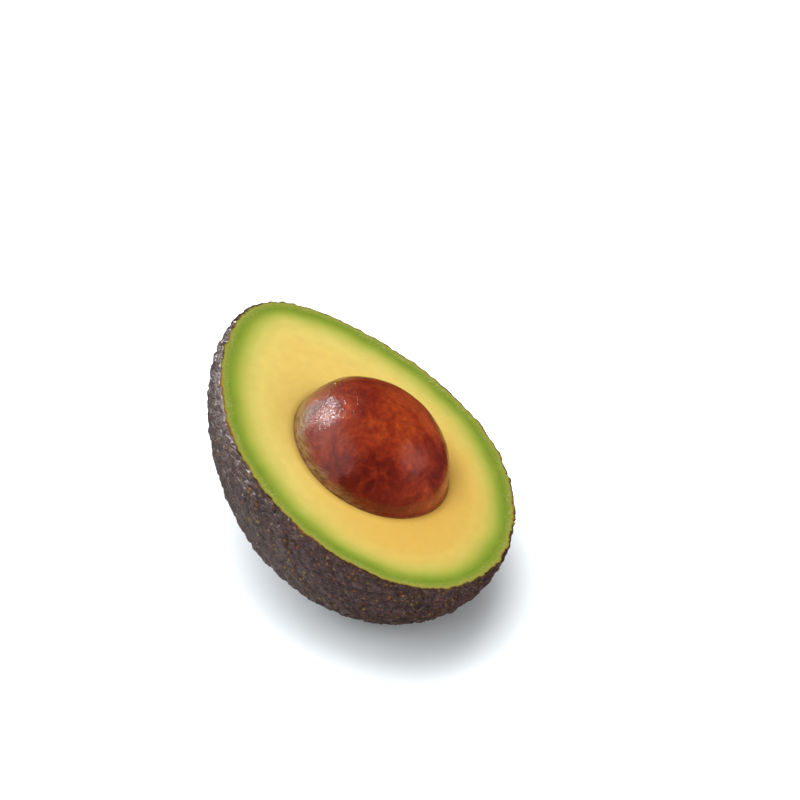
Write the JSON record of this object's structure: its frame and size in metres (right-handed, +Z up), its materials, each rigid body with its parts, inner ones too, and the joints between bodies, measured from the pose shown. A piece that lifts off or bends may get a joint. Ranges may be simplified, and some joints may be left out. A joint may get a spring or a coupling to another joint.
{
  "type": "avocado half",
  "caption": "Fresh avocado half, cut lengthwise and lying on its pebbled dark back, with the glossy brown stone still seated in its green to yellow flesh.",
  "frame": {"origin": "on the table, under the middle of the object's box", "axes": "+Z up, +X from the narrow stem end to the blunt end along the fruit's length, -Y towards the raised side of the cut face"},
  "size_m": [0.0966, 0.0684, 0.0494],
  "materials": {
    "skin": "satin",
    "flesh": "satin",
    "seed_coat": "matte",
    "stone": "gloss"
  },
  "bodies": {
    "root": {"skin": "skin", "flesh": "flesh", "seed_coat": "seed_coat", "stone": "stone"}
  },
  "joints": []
}
